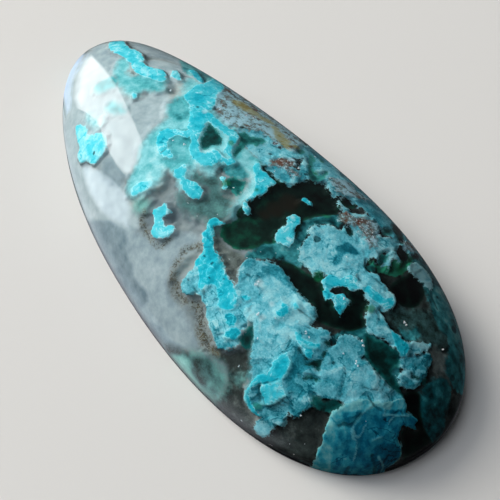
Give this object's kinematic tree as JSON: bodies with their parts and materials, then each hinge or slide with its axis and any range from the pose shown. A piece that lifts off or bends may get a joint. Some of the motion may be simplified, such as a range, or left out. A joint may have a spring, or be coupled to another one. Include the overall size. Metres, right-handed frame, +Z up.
{
  "type": "chrysocolla cabochon",
  "caption": "Polished egg-shaped cabochon of blue-green chrysocolla and malachite in clear chalcedony, with a domed top and a flat back to rest on or to be glued into a setting.",
  "frame": {"origin": "middle of the flat back, centred on the stone's length and width", "axes": "+X along the length towards the wider end, +Y across the width, +Z up out of the dome"},
  "size_m": [0.04, 0.0174, 0.0072],
  "materials": {
    "polished_stone": "glassy polish over blue-green, green-black and grey mottling; the back is ground matt"
  },
  "bodies": {
    "root": {"cabochon": "polished_stone"}
  },
  "joints": []
}
